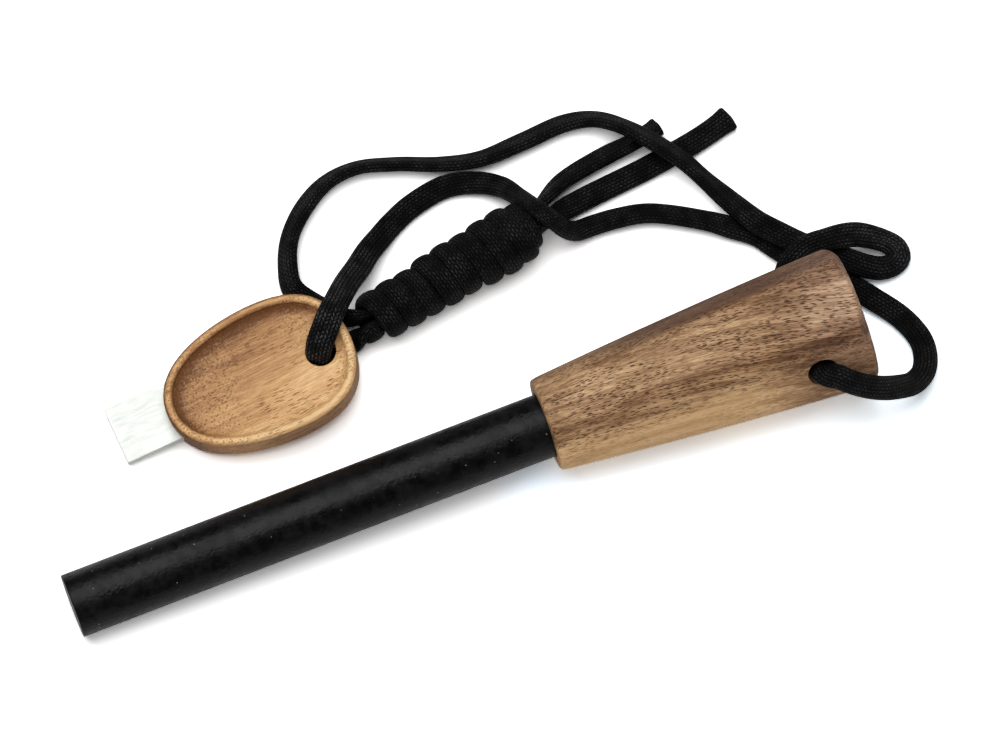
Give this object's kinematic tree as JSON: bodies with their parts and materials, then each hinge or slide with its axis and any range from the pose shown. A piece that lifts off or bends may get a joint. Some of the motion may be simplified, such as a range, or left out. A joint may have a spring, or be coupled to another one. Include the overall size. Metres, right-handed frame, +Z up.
{
  "type": "ferro rod fire starter",
  "caption": "Thick ferrocerium rod in a tapered hexagonal wooden handle, tied by a flat braided lanyard to an egg-shaped wooden striker with a steel blade.",
  "frame": {"origin": "on the table, under the middle of the bounding box of the rod, the handle and the striker", "axes": "+X along the rod towards the handle's butt, +Y towards the striker, +Z up from the table"},
  "size_m": [0.1793, 0.088, 0.0263],
  "materials": {
    "ferrocerium": "satin, scraped bright in fine specks",
    "walnut": "oiled satin",
    "acacia": "oiled satin",
    "steel": "brushed",
    "cord": "braided nylon, slightly glossy"
  },
  "bodies": {
    "fire_starter": {"ferro_rod": "ferrocerium", "handle": "walnut", "cord_back_run": "cord", "cord_loop": "cord", "cord_butt_turn": "cord", "cord_front_run": "cord", "cord_striker_turn": "cord", "cord_tail_back": "cord", "cord_tail_front": "cord", "cord_whipping": "cord", "cord_pressed_back": "cord", "cord_pressed_front": "cord"},
    "striker": {"striker_holder": "acacia", "striker_blade": "steel"}
  },
  "joints": [
    {"name": "striker_swivel", "type": "hinge", "parent": "fire_starter", "child": "striker", "pos_m": [-0.01759, 0.01663, 0.0031], "axis": [-0.1016, 0, 0.9948], "range_deg": [-11, 25]}
  ]
}
